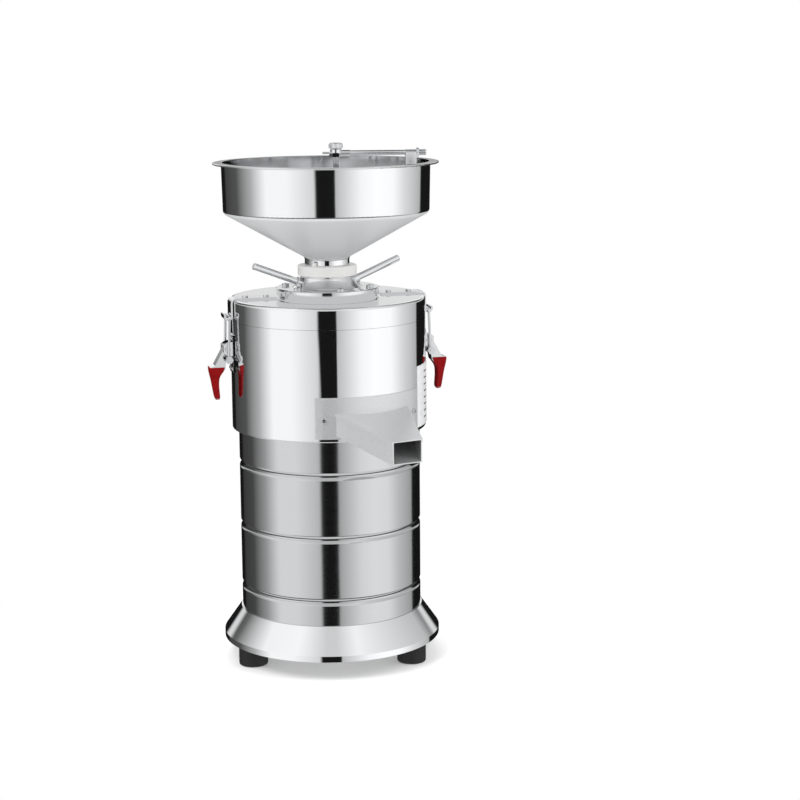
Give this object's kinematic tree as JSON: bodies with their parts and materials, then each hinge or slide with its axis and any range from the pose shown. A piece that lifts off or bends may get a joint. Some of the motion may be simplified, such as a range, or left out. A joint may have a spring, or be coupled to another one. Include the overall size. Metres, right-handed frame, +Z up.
{
  "type": "peanut butter machine",
  "caption": "Table-top nut butter mill: hopper and adjuster over a clamped grinding drum with a side chute, on a motor column with a flared base.",
  "frame": {"origin": "on the table, at the mill axis, in the plane of the feet", "axes": "+Z up the mill axis, -Y along the outlet chute, +X to the right of someone who faces the chute"},
  "size_m": [0.3184, 0.3659, 0.7],
  "materials": {
    "polished_steel": "mirror-polished stainless steel",
    "satin_steel": "satin stainless sheet",
    "spun_steel": "polished spun stainless sheet",
    "machined_steel": "turned and polished stainless steel",
    "fastener_steel": "bright plated steel",
    "white_nylon": "white food-grade nylon",
    "red_vinyl": "dipped red vinyl",
    "black_rubber": "black moulded rubber",
    "gasket_rubber": "white silicone rubber",
    "black_plastic": "black moulded plastic",
    "cast_aluminium": "machined cast aluminium",
    "core_steel": "varnished laminated core",
    "winding_copper": "varnished copper windings",
    "grinding_stone": "emery grinding stone",
    "plate_white": "thin pale plate"
  },
  "bodies": {
    "machine": {"base_skirt": "polished_steel", "bottom_plate": "machined_steel", "cable_gland": "black_plastic", "chamber_floor": "cast_aluminium", "chute_cover": "satin_steel", "chute_plate": "satin_steel", "chute_screws": "fastener_steel", "chute_trough": "satin_steel", "drum_plate": "plate_white", "drum_shell": "polished_steel", "flange_bolts": "fastener_steel", "flange_ring": "machined_steel", "foot_bolts": "fastener_steel", "hook_straps": "machined_steel", "housing_screws": "fastener_steel", "latch_bases": "machined_steel", "lid": "polished_steel", "lid_gasket": "gasket_rubber", "lower_bearing": "machined_steel", "lower_shield": "cast_aluminium", "motor_frame": "cast_aluminium", "motor_housing": "spun_steel", "pivot_pins": "fastener_steel", "rubber_feet": "black_rubber", "run_capacitor": "cast_aluminium", "seat_ring": "machined_steel", "shaft_seal": "black_rubber", "stator_core": "core_steel", "stator_windings": "winding_copper", "strap_rivets": "fastener_steel", "switch_housing": "black_plastic", "upper_bearing": "machined_steel", "upper_shield": "cast_aluminium"},
    "rotor": {"motor_shaft": "machined_steel", "rotor_core": "core_steel", "cooling_fan": "black_plastic", "stone_carrier": "cast_aluminium", "lower_stone": "grinding_stone", "shaft_nut": "fastener_steel"},
    "adjuster": {"adjusting_hub": "machined_steel", "adjusting_rods": "machined_steel"},
    "stone_feed": {"feed_sleeve": "machined_steel", "upper_stone": "grinding_stone", "nylon_ring": "white_nylon"},
    "hopper_set": {"hopper": "spun_steel", "rim_clamp": "machined_steel", "clamp_screw": "fastener_steel", "water_pipe": "machined_steel", "tap_body": "machined_steel"},
    "tap": {"tap_knob": "machined_steel"},
    "left_lever": {"left_latch_lever": "machined_steel", "left_latch_grip": "red_vinyl", "left_crank_pin": "fastener_steel"},
    "left_bail": {"left_latch_bail": "machined_steel"},
    "right_lever": {"right_latch_lever": "machined_steel", "right_latch_grip": "red_vinyl", "right_crank_pin": "fastener_steel"},
    "right_bail": {"right_latch_bail": "machined_steel"},
    "rocker": {"switch_rocker": "black_plastic"}
  },
  "joints": [
    {"name": "rotor_spin", "type": "hinge", "parent": "machine", "child": "rotor", "pos_m": [0, 0, 0.25], "axis": [0, 0, 1], "continuous": true},
    {"name": "adjuster_turn", "type": "hinge", "parent": "machine", "child": "adjuster", "pos_m": [0, 0, 0.5052], "axis": [0, 0, 1], "range_deg": [-45, 270]},
    {"name": "stone_feed_slide", "type": "slide", "parent": "machine", "child": "stone_feed", "axis": [0, 0, 1], "range_m": [-0.0003, 0.0016]},
    {"name": "hopper_lift", "type": "slide", "parent": "stone_feed", "child": "hopper_set", "axis": [0, 0, 1], "range_m": [0, 0.1]},
    {"name": "tap_turn", "type": "hinge", "parent": "hopper_set", "child": "tap", "pos_m": [-0.02746, -0.08253, 0.6872], "axis": [0, 0, 1], "range_deg": [0, 270]},
    {"name": "left_lever_swing", "type": "hinge", "parent": "machine", "child": "left_lever", "pos_m": [-0.13409, 0.03468, 0.4275], "axis": [0.2504, 0.9681, 0], "range_deg": [0, 86]},
    {"name": "left_bail_swing", "type": "hinge", "parent": "left_lever", "child": "left_bail", "pos_m": [-0.13409, 0.03468, 0.4145], "axis": [0.2504, 0.9681, 0], "range_deg": [-75, 0]},
    {"name": "right_lever_swing", "type": "hinge", "parent": "machine", "child": "right_lever", "pos_m": [0.13409, -0.03468, 0.4275], "axis": [-0.2504, -0.9681, 0], "range_deg": [0, 86]},
    {"name": "right_bail_swing", "type": "hinge", "parent": "right_lever", "child": "right_bail", "pos_m": [0.13409, -0.03468, 0.4145], "axis": [-0.2504, -0.9681, 0], "range_deg": [-75, 0]},
    {"name": "switch_rock", "type": "hinge", "parent": "machine", "child": "rocker", "pos_m": [0.05883, 0.10189, 0.142], "axis": [-0.866, 0.5, 0], "range_deg": [0, 16]}
  ],
  "couplings": [
    {"joint": "stone_feed_slide", "follows": "adjuster_turn", "m_per_rad": 0.00031831},
    {"joint": "left_bail_swing", "follows": "left_lever_swing", "ratio": -0.845},
    {"joint": "right_bail_swing", "follows": "right_lever_swing", "ratio": -0.845}
  ]
}
